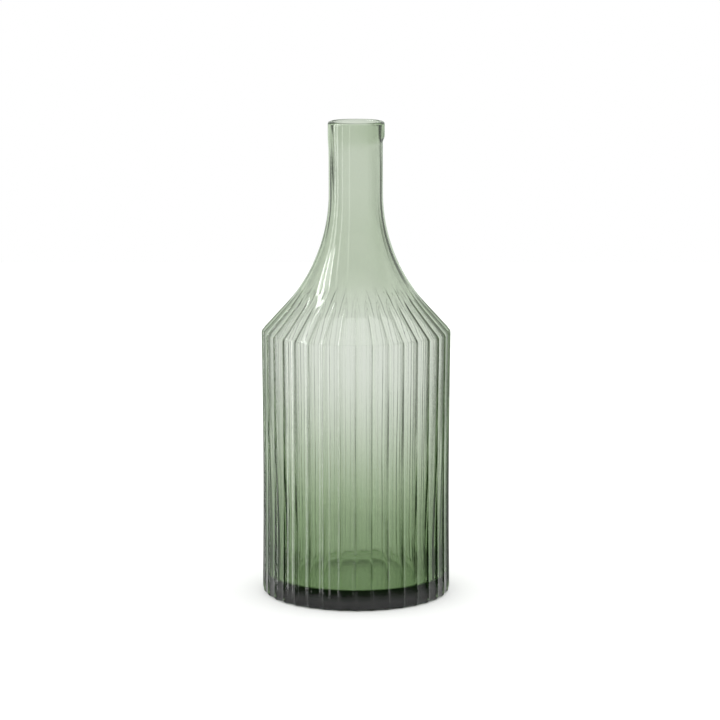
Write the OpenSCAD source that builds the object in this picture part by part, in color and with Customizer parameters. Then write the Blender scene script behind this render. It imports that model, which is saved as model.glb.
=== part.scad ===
// Ribbed glass bottle: one blown piece of green glass.
// Z is up, the origin is the centre of the base, sizes are in millimetres.

/* [Body] */
// Diameter over the rib crests
body_d = 120; // [112:1:128]
// Height of the shoulder corner above the base
shoulder_z = 169; // [160:1:178]
// Rounding of the shoulder corner
shoulder_round = 3.5; // [2.5:0.5:5]
// Rounding of the bottom edge
base_round = 3; // [2:0.5:4]
// How much narrower the body is halfway down, on the radius
body_waist = 0.6; // [0:0.1:1]

/* [Ribs] */
// Number of ribs around the body
rib_count = 36; // [30:2:40]
// Radius of the hollow between two ribs
flute_r = 60; // [45:1:80]
// Height of the sharp ridge on top of each rib
ridge_h = 0.65; // [0.3:0.05:0.8]
// Width of that ridge at its foot, on each side of the crest
ridge_w = 1.5; // [1.2:0.1:2]
// How far up the flare the ribs stay full, as a share of its height
rib_full = 0.5; // [0.3:0.05:0.6]
// How far up the flare the ribs have faded away
rib_end = 0.95; // [0.75:0.05:1]

/* [Neck] */
// Overall height
height = 302; // [296:1:310]
// Outer diameter of the neck
neck_d = 34.2; // [32:0.2:37]
// Wall of the neck
neck_wall = 2.4; // [2:0.1:3]
// Radius of the flare between neck and shoulder
flare_r = 106; // [100:1:112]
// Steepest angle of the flare, from vertical
flare_angle = 42.5; // [40:0.5:45]

/* [Lip] */
// How far the lip stands out from the neck
lip_out = 0.85; // [0.6:0.05:1.4]
// How unevenly the lip was finished: 0 is a true ring
lip_uneven = 0.4; // [0:0.05:0.5]
// Height of the thickened lip
lip_h = 9; // [7:0.5:11]
// Height over which the lip runs out into the neck
lip_runout = 9; // [6:0.5:12]
// Rounding of the rim, outside
rim_round = 1.8; // [1.2:0.1:2]
// Rounding of the rim, inside
rim_inner_round = 1.0; // [0.6:0.1:1.2]

/* [Glass thickness] */
// Thickness of the floor
floor_t = 11; // [9:0.5:14]
// Wall just above the floor
heel_wall = 8.1; // [6:0.1:9]
// Wall of the upper body and the shoulder
shoulder_wall = 2.0; // [1.8:0.1:2.4]
// Height where the body wall starts to thicken downwards
thin_above_z = 150; // [130:2:154]
// Height below which the body wall is at its thickest
thick_below_z = 36; // [26:2:45]
// Rounding between floor and wall, inside
floor_round = 2.5; // [1.5:0.5:5]
// Depth of the hollow under the base
kick_h = 1.4; // [0.8:0.1:2]
// Diameter of the hollow under the base
kick_d = 92; // [84:1:98]

/* [Hidden] */
body_r = body_d / 2;
neck_r = neck_d / 2;
bore_r = neck_r - neck_wall;
rib_pitch = 360 / rib_count;
steps_per_rib = 4;
columns = rib_count * steps_per_rib;
round_steps = 3;
flare_steps = 8;
lip_steps = 4;
wall_steps = 8;
fine = 144;
overlap = 1;
side_steps = 5;
// How late the body wall thickens on the way down: 1 would be evenly
thickening_power = 1.8;
// How much fuller the wall is halfway up the flare
flare_extra = 0.5;
glass_colour = [0.62, 0.72, 0.58, 0.6];

// Meridian of the outside, from the base up: each point is [radius, height].
cone_top_r = neck_r + flare_r * (1 - cos(flare_angle));
cone_top_z = shoulder_z + (body_r - cone_top_r) / tan(flare_angle);
neck_z = cone_top_z + flare_r * sin(flare_angle);
corner_cut = shoulder_round * tan(flare_angle / 2);
body_top_z = shoulder_z - corner_cut;
lip_z = height - lip_h;
lip_start_z = lip_z - lip_runout;

function waist(z) = body_waist * sin(180 * z / body_top_z);
function flare_point(a, inset) =
    [neck_r + flare_r - (flare_r + inset) * cos(a), neck_z - (flare_r + inset) * sin(a)];
function corner_point(a, inset) =
    [body_r - shoulder_round + (shoulder_round - inset) * cos(a),
     body_top_z + (shoulder_round - inset) * sin(a)];

base_edge = [for (i = [0:round_steps]) let (a = 90 * i / round_steps)
    [body_r - base_round * (1 - sin(a)), base_round * (1 - cos(a))]];
body_side = [for (i = [1:side_steps - 1])
    let (z = base_round + (body_top_z - base_round) * i / side_steps)
    [body_r - waist(z), z]];
shoulder_corner = [for (i = [0:round_steps]) corner_point(flare_angle * i / round_steps, 0)];
flare_side = [for (i = [flare_steps:-1:0]) flare_point(flare_angle * i / flare_steps, 0)];
lip_side = [for (i = [0:lip_steps]) [neck_r, lip_start_z + lip_runout * i / lip_steps]];
rim_edge = [for (i = [0:round_steps]) let (a = 90 * i / round_steps)
    [neck_r - rim_round * (1 - cos(a)), height - rim_round * (1 - sin(a))]];
meridian = concat(base_edge, body_side, shoulder_corner, flare_side, lip_side, rim_edge);

// Ribs: a hollow of radius flute_r runs between two crests, with a narrow ridge on each crest, and fades
// out up the flare. Round each rib the points stand on the crest, at the ridge's two feet and halfway to
// the next rib.
function smooth(t) = let (u = min(max(t, 0), 1)) u * u * (3 - 2 * u);
function rib_share(z) =
    1 - smooth(((z - shoulder_z) / (neck_z - shoulder_z) - rib_full) / (rib_end - rib_full));
function flute_radius(r, a) =
    let (f = flute_r * r / body_r,
        c = r * cos(rib_pitch / 2) + sqrt(pow(f, 2) - pow(r * sin(rib_pitch / 2), 2)))
    c * cos(a) - sqrt(pow(f, 2) - pow(c * sin(a), 2));
ridge_angle = ridge_w / body_r * 180 / PI;
step_angles = [0, ridge_angle, rib_pitch / 2, rib_pitch - ridge_angle];
function column_angle(column) =
    rib_pitch * floor(column / steps_per_rib) + step_angles[column % steps_per_rib];
function ribbed_radius(r, z, step) =
    let (hollow = r - flute_radius(r, step_angles[step] - rib_pitch / 2),
        groove = step == 0 ? 0 : hollow + ridge_h * r / body_r)
    r - rib_share(z) * groove;
// The lip is thicker towards +X.
function lip_extra(z, angle) =
    lip_out * smooth((z - lip_start_z) / lip_runout) * (1 + lip_uneven * cos(angle));
function skin_radius(r, z, column) =
    ribbed_radius(r, z, column % steps_per_rib) + lip_extra(z, column_angle(column));

// Meridian of the inside, from the floor up.
function body_wall(z) =
    let (t = min(max((thin_above_z - z) / (thin_above_z - thick_below_z), 0), 1))
    shoulder_wall + (heel_wall - shoulder_wall) * pow(t, thickening_power);
function flare_wall(a) =
    neck_wall + (shoulder_wall - neck_wall) * smooth(a / flare_angle)
    + flare_extra * sin(180 * a / flare_angle);

heel_r = body_r - body_wall(0) - body_waist;
floor_edge = [for (i = [0:round_steps]) let (a = 90 * i / round_steps)
    [heel_r - floor_round * (1 - sin(a)), floor_t + floor_round * (1 - cos(a))]];
inner_side = [for (i = [1:wall_steps])
    let (z = floor_t + floor_round + (body_top_z - floor_t - floor_round) * i / wall_steps)
    [body_r - waist(z) - body_wall(z), z]];
inner_corner = [for (i = [1:round_steps]) corner_point(flare_angle * i / round_steps, shoulder_wall)];
inner_flare = [for (i = [flare_steps:-1:0]) let (a = flare_angle * i / flare_steps)
    flare_point(a, flare_wall(a))];
inner_rim = [for (i = [0:round_steps]) let (a = 90 * i / round_steps)
    [bore_r + rim_inner_round * (1 - cos(a)), height - rim_inner_round * (1 - sin(a))]];

// Outer skin: a closed mesh of rings of points, one ring for each point of the meridian.
module skin() {
    rings = len(meridian);
    points = [for (p = meridian, c = [0:columns - 1])
        let (r = skin_radius(p[0], p[1], c), a = column_angle(c)) [r * cos(a), r * sin(a), p[1]]];
    sides = [for (k = [0:rings - 2], c = [0:columns - 1])
        let (n = (c + 1) % columns, low = k * columns, high = low + columns)
        each [[low + c, high + c, high + n], [low + c, high + n, low + n]]];
    bottom = [for (c = [0:columns - 1]) c];
    top = [for (c = [columns - 1:-1:0]) (rings - 1) * columns + c];
    polyhedron(points, concat([bottom], sides, [top]), convexity = 4);
}

// Inside space, with the straight bore of the neck and the rounded inner rim.
module cavity() {
    rotate_extrude($fn = fine)
        polygon(concat([[0, floor_t]], floor_edge, inner_side, inner_corner, inner_flare, inner_rim,
            [[bore_r + rim_inner_round, height + overlap], [0, height + overlap]]));
}

// Shallow hollow under the base, so that the bottle stands on a ring.
module kick() {
    rise = [for (i = [0:round_steps]) let (s = i / round_steps) [kick_d / 2 * (1 - s), kick_h * s * (2 - s)]];
    rotate_extrude($fn = fine)
        polygon(concat([[0, -overlap], [kick_d / 2, -overlap]], rise));
}

module glass_bottle() {
    color(glass_colour)
        difference() {
            skin();
            cavity();
            kick();
        }
}

glass_bottle();
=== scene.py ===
"""A ribbed bottle of green glass, blown in one piece, on a pale floor in soft studio light.

Everything is in metres. Z is up and the origin is the centre of the base.
"""

import math

import bpy
import numpy as np
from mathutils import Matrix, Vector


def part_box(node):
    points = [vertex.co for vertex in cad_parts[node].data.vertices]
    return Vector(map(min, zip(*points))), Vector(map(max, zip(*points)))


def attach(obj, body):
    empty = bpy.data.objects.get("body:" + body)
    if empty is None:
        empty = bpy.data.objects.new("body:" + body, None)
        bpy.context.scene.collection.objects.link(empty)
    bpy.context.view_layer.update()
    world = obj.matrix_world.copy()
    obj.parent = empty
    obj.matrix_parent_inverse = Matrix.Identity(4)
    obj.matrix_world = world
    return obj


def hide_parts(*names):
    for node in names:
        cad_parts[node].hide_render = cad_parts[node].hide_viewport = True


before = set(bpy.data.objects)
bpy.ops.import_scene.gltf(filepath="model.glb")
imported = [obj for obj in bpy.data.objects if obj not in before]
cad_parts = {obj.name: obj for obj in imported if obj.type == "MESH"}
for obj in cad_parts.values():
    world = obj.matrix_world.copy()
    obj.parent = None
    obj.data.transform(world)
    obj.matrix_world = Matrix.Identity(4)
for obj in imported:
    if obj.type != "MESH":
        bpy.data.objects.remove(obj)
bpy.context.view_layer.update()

MM = 0.001
NODE = "glass_bottle"
low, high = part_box(NODE)

# ---------------------------------------------------------------- driving sizes
HEIGHT = high.z - low.z
BODY_R = (high.x - low.x) / 2
BASE_ROUND = 3.0 * MM
BODY_WAIST = 0.6 * MM
SHOULDER_Z = 169.0 * MM
SHOULDER_ROUND = 3.5 * MM
FLARE_R = 106.0 * MM
FLARE_ANGLE = math.radians(42.5)
NECK_R = 17.1 * MM
NECK_WALL = 2.4 * MM
BORE_R = NECK_R - NECK_WALL

LIP_OUT = 0.85 * MM
LIP_UNEVEN = 0.42
LIP_H = 9.0 * MM
LIP_RUNOUT = 9.0 * MM
LIP_LONGEST, LIP_SHORTER_BY = 1.25, 0.75
RIM_ROUND = 1.8 * MM
RIM_INNER_ROUND = 1.0 * MM
NECK_LEAN = 0.3 * MM

RIB_COUNT = 36
FLUTE_R = 60.0 * MM
RIDGE_H = 0.65 * MM
RIDGE_W = 1.0 * MM
CREST_ROUND = 0.08 * MM
RIB_FULL = 0.5
RIB_END = 0.95
RIB_GHOST = 0.3
INNER_RIB_GHOST = 0.06

FLOOR_T = 11.0 * MM
FLOOR_ROUND = 1.6 * MM
FLOOR_CROWN = 0.3 * MM
FLOOR_TILT = math.radians(1.2)
HEEL_WALL = 8.1 * MM
SHOULDER_WALL = 2.0 * MM
FLARE_EXTRA = 0.5 * MM
THIN_ABOVE_Z = 150.0 * MM
THICK_BELOW_Z = 36.0 * MM
THICKENING_POWER = 1.8
KICK_H = 1.4 * MM
KICK_R = 46.0 * MM

# Meridian places that follow from the sizes above.
CONE_TOP_R = NECK_R + FLARE_R * (1 - math.cos(FLARE_ANGLE))
CONE_TOP_Z = SHOULDER_Z + (BODY_R - CONE_TOP_R) / math.tan(FLARE_ANGLE)
NECK_Z = CONE_TOP_Z + FLARE_R * math.sin(FLARE_ANGLE)
BODY_TOP_Z = SHOULDER_Z - SHOULDER_ROUND * math.tan(FLARE_ANGLE / 2)
LIP_START_Z = HEIGHT - LIP_H - LIP_RUNOUT
TILT_FULL_Z = FLOOR_T + FLOOR_ROUND
TILT_TOP_Z = FLOOR_T + 4 * FLOOR_ROUND

# Unevenness of blown glass: its ripples are sums of waves, each with a whole number of turns round the
# bottle, below RIPPLE_TURNS, and a drift in radians per metre up it. They grow in over the CALM lengths.
RIPPLE_TURNS = 7
RIPPLE_DRIFT = (10, 60)
RIPPLE_WAVES = 6
OUTSIDE_SEED, INSIDE_SEED, INSIDE_FINE_SEED = 3, 11, 12
OUTSIDE_RIPPLE = 0.05 * MM
OUTSIDE_CALM = 20.0 * MM
INSIDE_RIPPLE = 0.3 * MM
INSIDE_FINE_RIPPLE = 0.08 * MM
INSIDE_FINE_TURNS = 16
INSIDE_CALM = 8.0 * MM

# Columns of points round the bottle, and rings along each stretch of the two meridians, ends included.
COLUMNS_PER_HALF_RIB = 6
CREST_CROWDING = 1.9
KICK_RINGS = 9
STANDING_RINGS = 6
BASE_EDGE_RINGS = 8
SIDE_RINGS = 26
CORNER_RINGS = 9
CONE_RINGS = 8
FLARE_RINGS = 28
NECK_RINGS = 10
LIP_RINGS = 16
RIM_RINGS = 8
BORE_RINGS = 18
INNER_FLARE_RINGS = 24
INNER_CORNER_RINGS = 6
INNER_SIDE_RINGS = 24
FLOOR_EDGE_RINGS = 10
FLOOR_RINGS = 12
POLE_SHARE = 0.04

# Gas bubbles: a scatter in the thick lower wall and one short row up the front left.
BUBBLE_SEED = 21
BUBBLE_STRETCH = 1.5
BUBBLE_RINGS, BUBBLE_COLUMNS = 6, 10
BUBBLES = 34
BUBBLE_FOOT = 8.0 * MM
BUBBLE_REACH = 105.0 * MM
BUBBLE_LOWNESS = 1.5
BUBBLE_DEPTHS = (0.3, 0.7)
BUBBLE_SIZES = (0.12 * MM, 0.32 * MM)
ROW_BUBBLES = 9
ROW_FOOT = 14.0 * MM
ROW_STEP = 2.6 * MM
ROW_TURN = math.radians(233)
ROW_WANDER = 0.004
ROW_DEPTH = 2.2 * MM
ROW_SIZES = (0.16 * MM, 0.3 * MM)
RIB_CLEARANCE = 0.4 * MM


# ---------------------------------------------------------------- the glass skin
def smooth(t):
    """A step from 0 to 1 as t goes from 0 to 1, level at both ends: three t squared minus two t cubed."""
    u = np.clip(t, 0, 1)
    return u * u * (3 - 2 * u)


def bend(centre_r, centre_z, radius, start, end, count):
    """Points of an arc in the meridian plane: the centre plus radius times the cosine and sine of an angle
    that runs evenly from start to end, in radians."""
    angle = np.linspace(start, end, count)
    return np.column_stack([centre_r + radius * np.cos(angle), centre_z + radius * np.sin(angle)])


def waist(z):
    """How far the body side draws in at height z: half a sine wave between base and shoulder."""
    return BODY_WAIST * np.sin(np.pi * np.clip(z / BODY_TOP_Z, 0, 1))


def body_wall(z):
    """Thickness of the body wall at height z: thin above, growing downwards as a power of the depth."""
    t = np.clip((THIN_ABOVE_Z - z) / (THIN_ABOVE_Z - THICK_BELOW_Z), 0, 1)
    return SHOULDER_WALL + (HEEL_WALL - SHOULDER_WALL) * t ** THICKENING_POWER


def flare_wall(angle):
    """Thickness of the flare where it leans out by angle: it goes smoothly from the neck's wall to the
    shoulder's, fuller by half a sine wave in between."""
    share = angle / FLARE_ANGLE
    growth = NECK_WALL - SHOULDER_WALL
    return NECK_WALL - growth * smooth(share) + FLARE_EXTRA * np.sin(np.pi * share)


def outside_meridian():
    """The outline from the centre of the underside to the top of the rim: hollow, standing ring, bottom
    edge, side, shoulder corner, cone, flare, neck, lip and rim, as columns of radius and height. The hollow
    is a parabola: KICK_H times (1 minus the square of radius over KICK_R)."""
    kick_r = np.linspace(POLE_SHARE, 1, KICK_RINGS) * KICK_R
    kick = np.column_stack([kick_r, KICK_H * (1 - (kick_r / KICK_R) ** 2)])
    edge_r = BODY_R - BASE_ROUND
    ring_r = np.linspace(KICK_R, edge_r, STANDING_RINGS)[1:-1]
    ring = np.column_stack([ring_r, np.zeros_like(ring_r)])
    bottom_edge = bend(edge_r, BASE_ROUND, BASE_ROUND, -np.pi / 2, 0, BASE_EDGE_RINGS)
    side_z = np.linspace(BASE_ROUND, BODY_TOP_Z, SIDE_RINGS)[1:-1]
    side = np.column_stack([BODY_R - waist(side_z), side_z])
    corner = bend(BODY_R - SHOULDER_ROUND, BODY_TOP_Z, SHOULDER_ROUND, 0, FLARE_ANGLE, CORNER_RINGS)
    cone_share = np.linspace(0, 1, CONE_RINGS)[1:-1, None]
    cone = corner[-1] + cone_share * (np.array([CONE_TOP_R, CONE_TOP_Z]) - corner[-1])
    flare = bend(NECK_R + FLARE_R, NECK_Z, FLARE_R, np.pi + FLARE_ANGLE, np.pi, FLARE_RINGS)
    neck_z = np.linspace(NECK_Z, LIP_START_Z, NECK_RINGS)[1:-1]
    neck = np.column_stack([np.full_like(neck_z, NECK_R), neck_z])
    lip_z = np.linspace(LIP_START_Z, HEIGHT - RIM_ROUND, LIP_RINGS)[:-1]
    lip = np.column_stack([np.full_like(lip_z, NECK_R), lip_z])
    rim = bend(NECK_R - RIM_ROUND, HEIGHT - RIM_ROUND, RIM_ROUND, 0, np.pi / 2, RIM_RINGS)
    return np.vstack([kick, ring, bottom_edge, side, corner, cone, flare, neck, lip, rim])


def inside_meridian():
    """The outline from the top of the rim down the bore, flare, shoulder and side to the centre of the
    floor, which rises there by FLOOR_CROWN in a parabola. In the flare a point lies FLARE_R plus the wall
    from the flare's centre."""
    rim_r, rim_z = BORE_R + RIM_INNER_ROUND, HEIGHT - RIM_INNER_ROUND
    rim = bend(rim_r, rim_z, RIM_INNER_ROUND, np.pi / 2, np.pi, RIM_RINGS)
    bore_z = np.linspace(rim_z, NECK_Z, BORE_RINGS)[1:-1]
    bore = np.column_stack([np.full_like(bore_z, BORE_R), bore_z])
    angle = np.linspace(0, FLARE_ANGLE, INNER_FLARE_RINGS)
    reach = FLARE_R + flare_wall(angle)
    flare = np.column_stack([NECK_R + FLARE_R - reach * np.cos(angle), NECK_Z - reach * np.sin(angle)])
    corner_r = SHOULDER_ROUND - SHOULDER_WALL
    corner = bend(BODY_R - SHOULDER_ROUND, BODY_TOP_Z, corner_r, FLARE_ANGLE, 0, INNER_CORNER_RINGS)
    edge_z = FLOOR_T + FLOOR_ROUND
    side_z = np.linspace(BODY_TOP_Z, edge_z, INNER_SIDE_RINGS)[1:-1]
    side = np.column_stack([BODY_R - waist(side_z) - body_wall(side_z), side_z])
    heel_r = side[-1, 0]
    flat_r = heel_r - FLOOR_ROUND
    edge = bend(flat_r, edge_z, FLOOR_ROUND, 0, -np.pi / 2, FLOOR_EDGE_RINGS)
    floor_r = np.linspace(flat_r, POLE_SHARE * flat_r, FLOOR_RINGS)[1:]
    floor = np.column_stack([floor_r, FLOOR_T + FLOOR_CROWN * (1 - (floor_r / flat_r) ** 2)])
    return np.vstack([rim, bore, flare, corner, side, edge, floor])


def column_angles():
    """Directions of the columns round the bottle. Within each half rib they crowd towards the crest: half
    the rib pitch times a share from 0 to 1, raised to a power."""
    half = 0.5 * np.linspace(0, 1, COLUMNS_PER_HALF_RIB + 1) ** CREST_CROWDING
    one_rib = np.concatenate([half[:-1], 1 - half[:0:-1]])
    ribs = np.arange(RIB_COUNT)[:, None] + one_rib[None, :]
    return (ribs * 2 * np.pi / RIB_COUNT).ravel()


def flute_depth(radius, angle):
    """How far the skin lies inside its crests. A flute is a hollow of radius FLUTE_R that passes through two
    crests: its own circle, seen from the axis, is c cos a minus the root of (FLUTE_R squared minus c
    squared sin squared a). On top stands a narrow ridge along each crest: RIDGE_H times the hyperbolic
    tangent of the distance from the crest over RIDGE_W, with the tip rounded by CREST_ROUND."""
    half = np.pi / RIB_COUNT
    smallest = 1e-9
    from_middle = half - np.abs((angle + half) % (2 * half) - half)
    reach = radius + smallest
    flute_r = FLUTE_R * reach / BODY_R
    centre = reach * math.cos(half) + np.sqrt(flute_r ** 2 - (reach * math.sin(half)) ** 2)
    hollow = centre * np.cos(from_middle) - np.sqrt(flute_r ** 2 - (centre * np.sin(from_middle)) ** 2)
    from_crest = (half - from_middle) * BODY_R
    ridge = np.tanh((np.hypot(from_crest, CREST_ROUND) - CREST_ROUND) / RIDGE_W)
    return radius - hollow + RIDGE_H * reach / BODY_R * ridge


def rib_share(z):
    """How full the ribs are at height z: full on the body, fading up the flare to a ghost in the neck."""
    up = (z - SHOULDER_Z) / (NECK_Z - SHOULDER_Z)
    fade = 1 - smooth((up - RIB_FULL) / (RIB_END - RIB_FULL))
    ghost = RIB_GHOST * (1 - smooth((z - NECK_Z) / (LIP_START_Z - NECK_Z)))
    return ghost + (1 - ghost) * fade


def lip_extra(z, angle):
    """How far the lip stands out at height z and direction angle: fuller towards +X, with a run-out into the
    neck that is shorter on that side, by the square of a share that goes from 0 at -X to 1 at +X."""
    side = (1 + np.cos(angle)) / 2
    runout = LIP_RUNOUT * (LIP_LONGEST - LIP_SHORTER_BY * side ** 2)
    rise = smooth((z - (HEIGHT - LIP_H - runout)) / runout)
    return LIP_OUT * rise * (1 + LIP_UNEVEN * np.cos(angle))


def ripple(z, angle, size, seed, turns=RIPPLE_TURNS):
    """Soft unevenness of blown glass: a sum of waves, each the cosine of a whole number of turns round the
    bottle plus a slow drift up it, with seeded phases, and at most size high."""
    draw = np.random.default_rng(seed)
    total = np.zeros(np.broadcast(z, angle).shape)
    for _ in range(RIPPLE_WAVES):
        around = draw.integers(1, turns)
        up = draw.uniform(*RIPPLE_DRIFT)
        total += np.cos(around * angle + up * z + draw.uniform(0, 2 * np.pi))
    return size * total / RIPPLE_WAVES


def glass_skin():
    """The whole skin as a grid of points: rings along the two meridians, columns round the axis. On the
    outside the radius is the meridian's, less the flutes, plus the lip and ripples. On the inside it is the
    meridian's, plus ripples and less a faint ghost of the ribs. The floor inside tilts, by the tangent of
    FLOOR_TILT times the distance to the front, and the neck leans a little towards -X."""
    outside = outside_meridian()
    inside = inside_meridian()
    angle = column_angles()[None, :]

    r, z = outside[:, :1], outside[:, 1:]
    past_kick = (r - KICK_R) / (BODY_R - BASE_ROUND - KICK_R)
    share = rib_share(z) * smooth(past_kick + (z > BASE_ROUND / 2))
    outer = r - share * flute_depth(r, angle) + lip_extra(z, angle)
    rippled = smooth(z / OUTSIDE_CALM) * (outer > NECK_R - RIM_ROUND)
    outer = outer + ripple(z, angle, OUTSIDE_RIPPLE, OUTSIDE_SEED) * rippled
    outer = np.minimum(outer, BODY_R)

    ri, zi = inside[:, :1], inside[:, 1:]
    wall_part = smooth((zi - FLOOR_T) / INSIDE_CALM) * smooth((HEIGHT - zi) / INSIDE_CALM)
    uneven = ripple(zi, angle, INSIDE_RIPPLE, INSIDE_SEED)
    uneven = uneven + ripple(zi, angle, INSIDE_FINE_RIPPLE, INSIDE_FINE_SEED, INSIDE_FINE_TURNS)
    inner = ri + uneven * wall_part - INNER_RIB_GHOST * flute_depth(ri, angle) * wall_part

    radius = np.vstack([outer, inner])
    low_part = smooth((TILT_TOP_Z - zi) / (TILT_TOP_Z - TILT_FULL_Z))
    tilt = -math.tan(FLOOR_TILT) * inner * np.sin(angle) * low_part
    height = np.vstack([np.broadcast_to(z, outer.shape), zi + tilt])
    lean = -NECK_LEAN * smooth((height - SHOULDER_Z) / (HEIGHT - SHOULDER_Z))
    return np.stack([radius * np.cos(angle) + lean, radius * np.sin(angle), height], axis=-1)


def closed_skin(grid):
    """Points and faces of a grid of rings closed round its columns, with one point at each end: the quads
    run ring to ring, and a fan of triangles closes each pole."""
    rings, columns = grid.shape[:2]
    start = np.arange(rings - 1)[:, None] * columns
    here = np.arange(columns)[None, :]
    beside = (here + 1) % columns
    above = start + columns
    quads = np.stack([start + here, start + beside, above + beside, above + here], axis=-1)
    poles = np.array([[0, 0, grid[0, :, 2].mean()], [0, 0, grid[-1, :, 2].mean()]])
    points = np.vstack([grid.reshape(-1, 3), poles])
    first_pole, last_pole = rings * columns, rings * columns + 1
    last = (rings - 1) * columns
    low_fan = np.column_stack([np.full(columns, first_pole), beside[0], here[0]])
    high_fan = np.column_stack([np.full(columns, last_pole), last + here[0], last + beside[0]])
    return points, quads.reshape(-1, 4), np.vstack([low_fan, high_fan])


def bubbles(places, sizes):
    """Small gas bubbles in the glass, as hollow spheres drawn out upwards: for each place, the same grid of
    points on a unit sphere times the size, with heights times BUBBLE_STRETCH. Their faces look into the
    bubble, out of the glass."""
    polar = np.linspace(0, np.pi, BUBBLE_RINGS + 2)[1:-1, None]
    turn = np.linspace(0, 2 * np.pi, BUBBLE_COLUMNS, endpoint=False)[None, :]
    level = np.broadcast_to(BUBBLE_STRETCH * np.cos(polar), (BUBBLE_RINGS, BUBBLE_COLUMNS))
    ball = np.stack([np.sin(polar) * np.cos(turn), np.sin(polar) * np.sin(turn), level], axis=-1)
    points, quads, fans = closed_skin(ball)
    points[-2:, 2] = [BUBBLE_STRETCH, -BUBBLE_STRETCH]
    count = len(points)
    offset = (np.arange(len(places)) * count)[:, None, None]
    all_points = (points[None] * sizes[:, None, None] + places[:, None]).reshape(-1, 3)
    return all_points, (quads[None] + offset).reshape(-1, 4), (fans[None] + offset).reshape(-1, 3)


def bubble_places():
    """Where the bubbles are, as points and sizes: scattered in the thick lower wall, crowding downwards by a
    power of their share of the height, and the row up the front left."""
    draw = np.random.default_rng(BUBBLE_SEED)
    height = draw.uniform(0, 1, BUBBLES) ** BUBBLE_LOWNESS * BUBBLE_REACH + BUBBLE_FOOT
    angle = draw.uniform(0, 2 * np.pi, BUBBLES)
    depth = draw.uniform(*BUBBLE_DEPTHS, BUBBLES) * body_wall(height)
    size = draw.uniform(*BUBBLE_SIZES, BUBBLES)
    row_height = ROW_FOOT + np.arange(ROW_BUBBLES) * ROW_STEP
    row_angle = ROW_TURN + draw.normal(0, ROW_WANDER, ROW_BUBBLES)
    height = np.concatenate([height, row_height])
    angle = np.concatenate([angle, row_angle])
    depth = np.concatenate([depth, np.full(ROW_BUBBLES, ROW_DEPTH)])
    size = np.concatenate([size, draw.uniform(*ROW_SIZES, ROW_BUBBLES)])
    radius = BODY_R - waist(height) - depth - RIB_CLEARANCE
    return np.column_stack([radius * np.cos(angle), radius * np.sin(angle), height]), size


def build_mesh(name, parts):
    """One smooth mesh object from a list of (points, quads, triangles)."""
    points, faces, offset = [], [], 0
    for part_points, quads, fans in parts:
        points.append(part_points)
        faces += (quads + offset).tolist() + (fans + offset).tolist()
        offset += len(part_points)
    mesh = bpy.data.meshes.new(name)
    mesh.from_pydata(np.vstack(points).tolist(), [], faces)
    mesh.polygons.foreach_set("use_smooth", np.ones(len(mesh.polygons), bool))
    mesh.update()
    piece = bpy.data.objects.new(name, mesh)
    bpy.context.scene.collection.objects.link(piece)
    return piece


# ---------------------------------------------------------------- materials
def add_node(tree, kind, place, **inputs):
    """A node of that kind at that place in the tree's window, with its named inputs set."""
    node = tree.nodes.new(kind)
    node.location = place
    for name, value in inputs.items():
        node.inputs[name.replace("_", " ")].default_value = value
    return node


GLASS_IOR = 1.52
ABSORPTION = (92.0, 70.0, 109.0)
ABSORPTION_DENSITY = 150.0
CORD_SCALE = (420, 420, 9)
CORD_DETAIL = 3.0
CORD_HEIGHT = 0.02 * MM
SLOW_SCALE = 60.0
SLOW_DETAIL = 2.0
SLOW_HEIGHT = 0.12 * MM
NOISE_ROUGHNESS = 0.5
BUMP_STRENGTH = 0.5
DULLEST_POLISH = 0.02
CLEAR_TINT = (1, 1, 1, 1)
GREENER_TINT = (0.985, 0.996, 0.98, 1)


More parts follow.
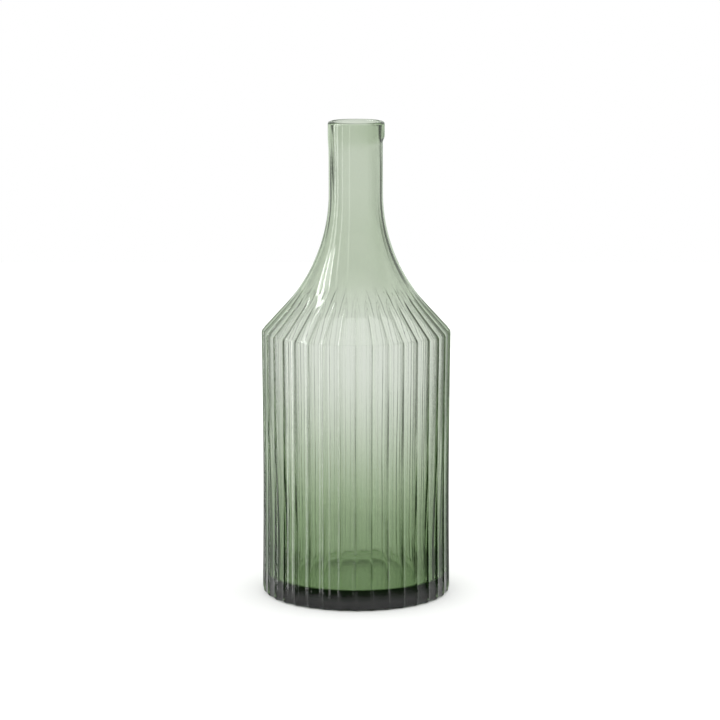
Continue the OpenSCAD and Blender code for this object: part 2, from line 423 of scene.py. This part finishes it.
def green_glass():
    """Clear green glass. The colour is in its depth: each of red, green and blue is absorbed per metre by
    ABSORPTION_DENSITY times (1 minus the colour), so thick glass is dark. Noise gives the surface fine
    drawn-out cords, a slow ripple and a breath of unevenness in its polish and tint."""
    material = bpy.data.materials.new("green_glass")
    material.use_nodes = True
    tree = material.node_tree
    tree.nodes.clear()
    output = add_node(tree, "ShaderNodeOutputMaterial", (900, 0))
    glass = add_node(tree, "ShaderNodeBsdfPrincipled", (600, 0), IOR=GLASS_IOR, Transmission_Weight=1.0)
    depth = add_node(tree, "ShaderNodeVolumeAbsorption", (600, -400), Density=ABSORPTION_DENSITY)
    colour = [1 - absorption / ABSORPTION_DENSITY for absorption in ABSORPTION]
    depth.inputs["Color"].default_value = (*colour, 1)

    place = add_node(tree, "ShaderNodeTexCoord", (-900, 0))
    drawn = add_node(tree, "ShaderNodeMapping", (-700, 100), Scale=CORD_SCALE)
    cords = add_node(tree, "ShaderNodeTexNoise", (-450, 100), Scale=1.0, Detail=CORD_DETAIL)
    slow = add_node(tree, "ShaderNodeTexNoise", (-450, -150), Scale=SLOW_SCALE, Detail=SLOW_DETAIL)
    for noise in (cords, slow):
        noise.inputs["Roughness"].default_value = NOISE_ROUGHNESS
    cord_bump = add_node(tree, "ShaderNodeBump", (-150, 100), Strength=BUMP_STRENGTH, Distance=CORD_HEIGHT)
    slow_bump = add_node(tree, "ShaderNodeBump", (100, 0), Strength=BUMP_STRENGTH, Distance=SLOW_HEIGHT)
    polish = add_node(tree, "ShaderNodeMapRange", (100, -250), To_Min=0.0, To_Max=DULLEST_POLISH)
    tint = add_node(tree, "ShaderNodeMix", (100, 250))
    tint.data_type = "RGBA"
    tint.inputs["A"].default_value = CLEAR_TINT
    tint.inputs["B"].default_value = GREENER_TINT
    link = tree.links.new
    link(place.outputs["Object"], drawn.inputs["Vector"])
    link(drawn.outputs["Vector"], cords.inputs["Vector"])
    link(place.outputs["Object"], slow.inputs["Vector"])
    link(cords.outputs["Fac"], cord_bump.inputs["Height"])
    link(slow.outputs["Fac"], slow_bump.inputs["Height"])
    link(cord_bump.outputs["Normal"], slow_bump.inputs["Normal"])
    link(slow_bump.outputs["Normal"], glass.inputs["Normal"])
    link(slow.outputs["Fac"], polish.inputs["Value"])
    link(polish.outputs["Result"], glass.inputs["Roughness"])
    link(slow.outputs["Fac"], tint.inputs["Factor"])
    link(tint.outputs["Result"], glass.inputs["Base Color"])
    link(glass.outputs["BSDF"], output.inputs["Surface"])
    link(depth.outputs["Volume"], output.inputs["Volume"])
    return material


# ---------------------------------------------------------------- studio
CAMERA_DISTANCE = 1.9
CAMERA_HEIGHT = 0.480
CAMERA_PITCH = math.radians(9.86)
CAMERA_LENS = 151.5
CAMERA_SHIFT = 0.0054
SENSOR_WIDTH = 36

FLOOR_SIZE = 3.0
FLOOR_COLOUR = (0.9, 0.9, 0.9, 1)
MIRRORED_FLOOR_R = 0.075
CLEAR_FLOOR_R = 0.11

# The surround that the glass shows. Directions and widths are in degrees round the bottle, 0 straight behind
# it and -90 on its left. A rise is the sine of the angle above level. GAP is how bright the dark parts are.
# Where the glass tapers downwards it bends its rays down, so the low rises stand below where they seem to.
EDGE_SOFTNESS = 8
GAP = 0.06
BACKDROP, BACKDROP_TURN, BACKDROP_HALF = 0.89, -6, 33
NARROW_RISE, NARROW_SOFTNESS, NARROWING = -0.205, 0.05, 6.5
LEFT_WALL, RIGHT_WALL, SIDE_WALL_TURN, SIDE_WALL_HALF = 0.5, 0.4, 88, 26
FRONT_WALL, FRONT_WALL_TURN, FRONT_WALL_HALF = 0.75, 180, 66
WALL_RISE, WALL_RISE_SOFTNESS = 0.75, 0.3
LOW_GLOW, LOW_GLOW_RISE, LOW_GLOW_SOFTNESS = 0.8, -0.285, 0.07
CEILING, CEILING_RISE, CEILING_SOFTNESS = 1.0, 0.75, 0.4

# Strips of light, each as direction, half width and brightness, between rises given as middle, half height
# and softness.
BEHIND_LEFT = (-20, 5, 0.25)
BEHIND_LEFT_SOFTNESS = 4
LEFT_STRIPS = ((-82, 3, 4.0), (-97, 4, 4.0), (-122, 2.5, 3.0), (-154, 2, 2.0))
LEFT_STRIPS_RISE = (0.1, 0.6, 0.3)
UPPER_LEFT_STRIPS = ((-78, 1.5, 14), (-90, 2, 14), (-104, 1.5, 14))
UPPER_LEFT_STRIPS_RISE = (0.55, 0.2, 0.1)
STRIP_SOFTNESS = 2

# The rest of what the glass mirrors, and the even light on everything else.
MIRRORED_BACKDROP, MIRRORED_BACKDROP_HALF, MIRRORED_BACKDROP_SOFTNESS = 0.7, 90, 30
MIRRORED_CEILING = 0.45
ROOM_TINT = (0.08, 0.16, 0.06)
FILL = 1.42

WALL_BOUNCES = 32
MIRROR_BOUNCES = 12
CLEAR_BOUNCES = 16
MATT_BOUNCES = 3


def math_node(tree, operation, first, second=None, clamp=False):
    """A maths node fed by sockets or numbers; returns its output socket."""
    node = tree.nodes.new("ShaderNodeMath")
    node.operation = operation
    node.use_clamp = clamp
    for slot, value in enumerate((first, second)):
        if value is None:
            continue
        if isinstance(value, (int, float)):
            node.inputs[slot].default_value = value
        else:
            tree.links.new(value, node.inputs[slot])
    return node.outputs[0]


def soft_window(tree, value, centre, half_width, softness):
    """1 where value is within half_width of centre, falling smoothly to 0 on both sides, over softness with
    its middle at the half width."""
    away = math_node(tree, "ABSOLUTE", math_node(tree, "SUBTRACT", value, centre))
    edge = tree.nodes.new("ShaderNodeMapRange")
    edge.interpolation_type = "SMOOTHSTEP"
    edge.inputs["From Min"].default_value = half_width - softness / 2
    edge.inputs["From Max"].default_value = half_width + softness / 2
    edge.inputs["To Min"].default_value = 1
    edge.inputs["To Max"].default_value = 0
    tree.links.new(away, edge.inputs["Value"])
    return edge.outputs["Result"]


def make_camera():
    """A long lens in front of the bottle, looking a little down on it."""
    data = bpy.data.cameras.new("camera")
    data.lens = CAMERA_LENS
    data.sensor_width = SENSOR_WIDTH
    data.shift_x = CAMERA_SHIFT
    camera = bpy.data.objects.new("camera", data)
    camera.location = (0, -CAMERA_DISTANCE, CAMERA_HEIGHT)
    camera.rotation_euler = (math.pi / 2 - CAMERA_PITCH, 0, 0)
    bpy.context.scene.collection.objects.link(camera)
    bpy.context.scene.camera = camera


def mirrored_ray(tree, path):
    """1 on a ray that a surface has just mirrored, 0 on every other ray."""
    sharp = math_node(tree, "SUBTRACT", 1.0, path.outputs["Is Diffuse Ray"])
    return math_node(tree, "MULTIPLY", path.outputs["Is Reflection Ray"], sharp)


def make_floor():
    """A plain pale floor. The glass mirrors it beside the base only, and does not show it: through the glass
    the surround is seen."""
    half = FLOOR_SIZE / 2
    corners = [(-half, -half, 0), (half, -half, 0), (half, half, 0), (-half, half, 0)]
    mesh = bpy.data.meshes.new("floor")
    mesh.from_pydata(corners, [], [(0, 1, 2, 3)])
    floor = bpy.data.objects.new("floor", mesh)
    bpy.context.scene.collection.objects.link(floor)
    material = bpy.data.materials.new("floor")
    material.use_nodes = True
    tree = material.node_tree
    tree.nodes.clear()
    output = add_node(tree, "ShaderNodeOutputMaterial", (400, 0))
    matt = add_node(tree, "ShaderNodeBsdfDiffuse", (0, 0), Color=FLOOR_COLOUR)
    clear = add_node(tree, "ShaderNodeBsdfTransparent", (0, -200))
    through = add_node(tree, "ShaderNodeMixShader", (200, 0))
    path = add_node(tree, "ShaderNodeLightPath", (-400, 200))
    place = add_node(tree, "ShaderNodeNewGeometry", (-800, 0))
    reach = tree.nodes.new("ShaderNodeVectorMath")
    reach.operation = "LENGTH"
    tree.links.new(place.outputs["Position"], reach.inputs[0])
    far = add_node(tree, "ShaderNodeMapRange", (-400, 0), From_Min=MIRRORED_FLOOR_R, From_Max=CLEAR_FLOOR_R)
    tree.links.new(reach.outputs["Value"], far.inputs["Value"])
    mirrored_far = math_node(tree, "MULTIPLY", mirrored_ray(tree, path), far.outputs["Result"])
    seen = math_node(tree, "ADD", path.outputs["Is Transmission Ray"], mirrored_far, clamp=True)
    link = tree.links.new
    link(seen, through.inputs["Fac"])
    link(matt.outputs[0], through.inputs[1])
    link(clear.outputs[0], through.inputs[2])
    link(through.outputs[0], output.inputs["Surface"])
    mesh.materials.append(material)


def make_light():
    """The studio as a surround. It differs by the kind of ray, so that the glass can be lit apart from the
    room. Through the glass show a broad backdrop, a little off the middle and narrower low down, dark gaps
    beside it with one dim strip behind on the left, dimmer walls at the sides, a wall in front, a ceiling
    and a glow low down. The glass mirrors a wide backdrop, soft strips of light on the left and the
    ceiling, faintly tinted. The camera sees plain white, and everything else gets an even fill."""
    world = bpy.data.worlds.new("studio")
    world.use_nodes = True
    bpy.context.scene.world = world
    tree = world.node_tree
    tree.nodes.clear()
    output = tree.nodes.new("ShaderNodeOutputWorld")
    background = tree.nodes.new("ShaderNodeBackground")
    tree.links.new(background.outputs[0], output.inputs["Surface"])
    path = tree.nodes.new("ShaderNodeLightPath")
    direction = tree.nodes.new("ShaderNodeTexCoord")
    axes = tree.nodes.new("ShaderNodeSeparateXYZ")
    tree.links.new(direction.outputs["Generated"], axes.inputs[0])
    turn = math_node(tree, "ARCTAN2", axes.outputs["X"], axes.outputs["Y"])
    turn_either_way = math_node(tree, "ABSOLUTE", turn)
    rise = axes.outputs["Z"]

    def wall(value, centre, half_width, brightness, softness=EDGE_SOFTNESS):
        """An upright band of light round that direction."""
        centre, half_width, softness = np.radians((centre, half_width, softness)).tolist()
        window = soft_window(tree, value, centre, half_width, softness)
        return math_node(tree, "MULTIPLY", window, brightness)

    def total(parts):
        """The sum of several lights."""
        result = parts[0]
        for part in parts[1:]:
            result = math_node(tree, "ADD", result, part)
        return result

    def below(limit, softness):
        """1 on rays that fall more steeply than the limit, 0 above it."""
        return soft_window(tree, rise, -1.0, 1 + limit, softness)

    high_up = soft_window(tree, rise, 1.0, 1 - CEILING_RISE, CEILING_SOFTNESS)
    from_middle = math_node(tree, "SUBTRACT", turn, math.radians(BACKDROP_TURN))
    from_middle = math_node(tree, "ABSOLUTE", from_middle)
    narrow = below(NARROW_RISE, NARROW_SOFTNESS)
    narrowing = math_node(tree, "MULTIPLY", narrow, math.radians(NARROWING))
    backdrop = wall(math_node(tree, "ADD", from_middle, narrowing), 0, BACKDROP_HALF, BACKDROP - GAP)
    left_wall = wall(turn, -SIDE_WALL_TURN, SIDE_WALL_HALF, LEFT_WALL - GAP)
    right_wall = wall(turn, SIDE_WALL_TURN, SIDE_WALL_HALF, RIGHT_WALL - GAP)
    front_wall = wall(turn_either_way, FRONT_WALL_TURN, FRONT_WALL_HALF, FRONT_WALL - GAP)
    behind_left = wall(turn, *BEHIND_LEFT, BEHIND_LEFT_SOFTNESS)
    walls = total([backdrop, left_wall, right_wall, front_wall, behind_left])
    wall_height = soft_window(tree, rise, 0.0, WALL_RISE, WALL_RISE_SOFTNESS)
    walls = math_node(tree, "ADD", math_node(tree, "MULTIPLY", walls, wall_height), GAP)
    low_glow = math_node(tree, "MULTIPLY", below(LOW_GLOW_RISE, LOW_GLOW_SOFTNESS), LOW_GLOW)
    walls = math_node(tree, "MAXIMUM", walls, low_glow)
    seen_through = total([walls, math_node(tree, "MULTIPLY", high_up, CEILING)])

    def strips(places, heights):
        """Several upright strips of light of the same height."""
        lit = total([wall(turn, *place, STRIP_SOFTNESS) for place in places])
        return math_node(tree, "MULTIPLY", lit, soft_window(tree, rise, *heights))

    mirrored_backdrop = wall(turn, 0, MIRRORED_BACKDROP_HALF, MIRRORED_BACKDROP, MIRRORED_BACKDROP_SOFTNESS)
    left = strips(LEFT_STRIPS, LEFT_STRIPS_RISE)
    upper_left = strips(UPPER_LEFT_STRIPS, UPPER_LEFT_STRIPS_RISE)
    mirrored_ceiling = math_node(tree, "MULTIPLY", high_up, MIRRORED_CEILING)
    in_mirror = total([mirrored_backdrop, left, upper_left, mirrored_ceiling])

    mirrored = mirrored_ray(tree, path)
    through = path.outputs["Is Transmission Ray"]
    from_camera = path.outputs["Is Camera Ray"]
    special = math_node(tree, "MAXIMUM", through, math_node(tree, "MAXIMUM", mirrored, from_camera))
    white = total([
        from_camera,
        math_node(tree, "MULTIPLY", through, seen_through),
        math_node(tree, "MULTIPLY", mirrored, in_mirror),
        math_node(tree, "MULTIPLY", math_node(tree, "SUBTRACT", 1.0, special), FILL),
    ])
    colour = tree.nodes.new("ShaderNodeCombineColor")
    for channel, tint in enumerate(ROOM_TINT):
        room = math_node(tree, "MULTIPLY", mirrored, tint)
        tree.links.new(math_node(tree, "ADD", white, room), colour.inputs[channel])
    tree.links.new(colour.outputs[0], background.inputs["Color"])


def set_scene():
    """How light is followed: enough bounces for thick walls, light let through the glass onto the floor, and
    a plain view of the result."""
    scene = bpy.context.scene
    scene.view_settings.view_transform = "Standard"
    scene.cycles.max_bounces = WALL_BOUNCES
    scene.cycles.transmission_bounces = WALL_BOUNCES
    scene.cycles.glossy_bounces = MIRROR_BOUNCES
    scene.cycles.transparent_max_bounces = CLEAR_BOUNCES
    scene.cycles.diffuse_bounces = MATT_BOUNCES
    scene.cycles.caustics_refractive = True
    scene.cycles.caustics_reflective = True
    scene.cycles.blur_glossy = 0.0


# ---------------------------------------------------------------- assembly
make_camera()
make_floor()
make_light()
set_scene()

bottle = build_mesh("blown_bottle", [closed_skin(glass_skin()), bubbles(*bubble_places())])
bottle.data.materials.append(green_glass())
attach(bottle, "root")
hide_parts(NODE)
